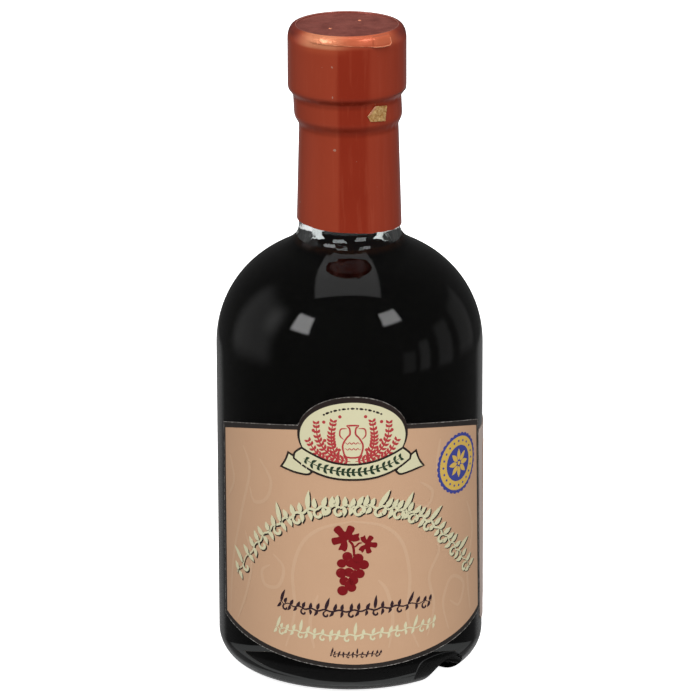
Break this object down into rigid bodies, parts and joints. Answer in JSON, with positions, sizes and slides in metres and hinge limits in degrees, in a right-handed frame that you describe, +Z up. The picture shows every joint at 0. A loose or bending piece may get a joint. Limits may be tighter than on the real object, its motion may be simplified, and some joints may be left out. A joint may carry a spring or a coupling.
{
  "type": "vinegar bottle",
  "caption": "Round clear glass bottle of dark vinegar with a domed shoulder, a copper shrink capsule over its cap, a tan die-cut front label and a plain back label.",
  "frame": {"origin": "centre of the ring that the bottle stands on, on the floor", "axes": "+Z up along the bottle's axis; -Y towards the front label; +X to the right as the front label is read"},
  "size_m": [0.0666, 0.0671, 0.1634],
  "materials": {
    "clear_glass": "clear polished glass",
    "dark_vinegar": "dark brown vinegar, almost black in depth",
    "cap_plastic": "moulded plastic, hidden under the film",
    "copper_film": "shrunk film with a satin metallic copper print",
    "disc_film": "dull brown-red film disc",
    "gold_strip": "crinkled gold film",
    "label_paper": "satin tan paper with a dark edge",
    "back_paper": "satin pale pinkish tan paper"
  },
  "bodies": {
    "root": {"glass_bottle": "clear_glass", "vinegar": "dark_vinegar", "screw_cap": "cap_plastic", "capsule": "copper_film", "capsule_disc": "disc_film", "tear_tab": "gold_strip", "front_label": "label_paper", "back_label": "back_paper"}
  },
  "joints": []
}
